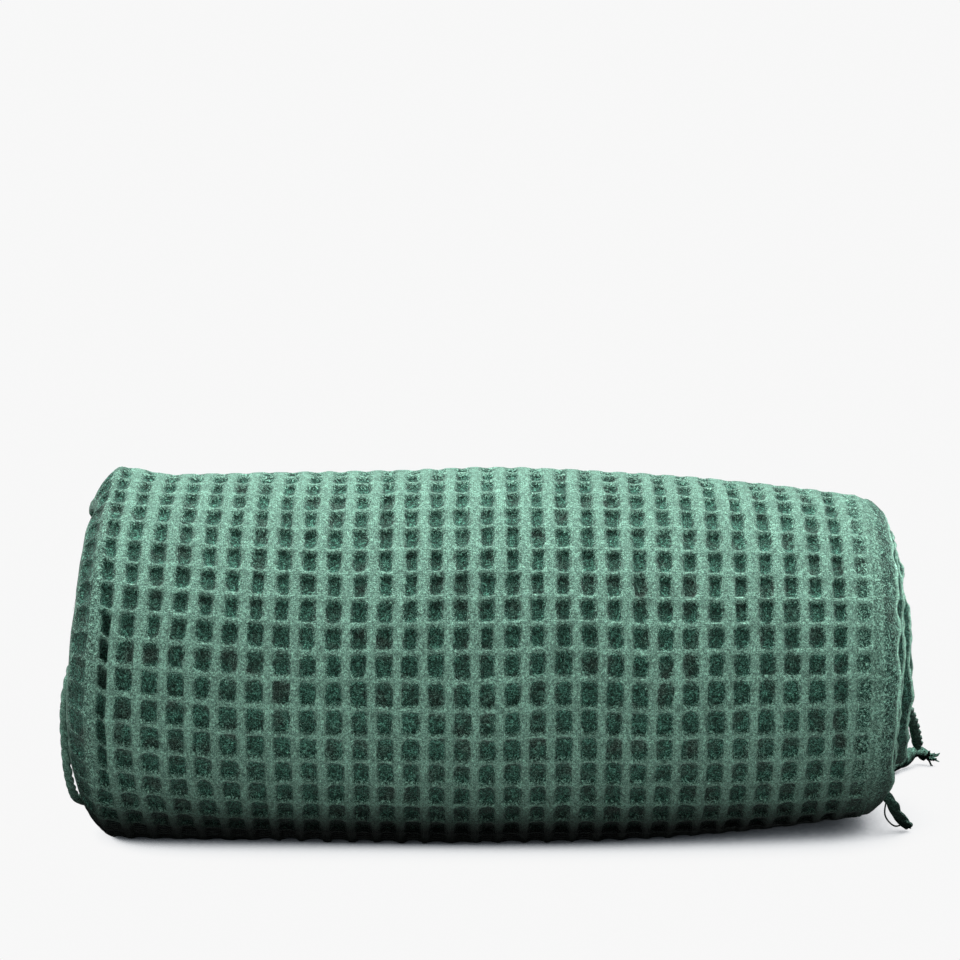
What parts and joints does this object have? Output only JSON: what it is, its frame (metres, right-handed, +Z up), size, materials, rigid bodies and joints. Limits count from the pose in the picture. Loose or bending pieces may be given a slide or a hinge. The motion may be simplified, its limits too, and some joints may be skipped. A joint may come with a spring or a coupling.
{
  "type": "waffle weave cotton blanket",
  "caption": "Waffle weave cotton throw, folded lengthwise into a thick strip and rolled up, with spiral ends, a hemmed edge and twisted fringe, lying on a flat underside.",
  "frame": {"origin": "on the surface the roll lies on, straight below the roll's axis, half-way along the folded strip's width", "axes": "+X along the roll from its folded end to its hemmed end, +Y towards the free end and the fringe behind the roll, +Z up"},
  "size_m": [0.375, 0.2213, 0.1494],
  "materials": {
    "green_cotton": "matt waffle weave",
    "dark_green_cotton": "matt twisted yarn"
  },
  "bodies": {
    "root": {"rolled_blanket": "green_cotton", "lower_fringe": "dark_green_cotton", "upper_fringe": "green_cotton", "left_strand": "green_cotton", "right_strand": "dark_green_cotton"}
  },
  "joints": []
}
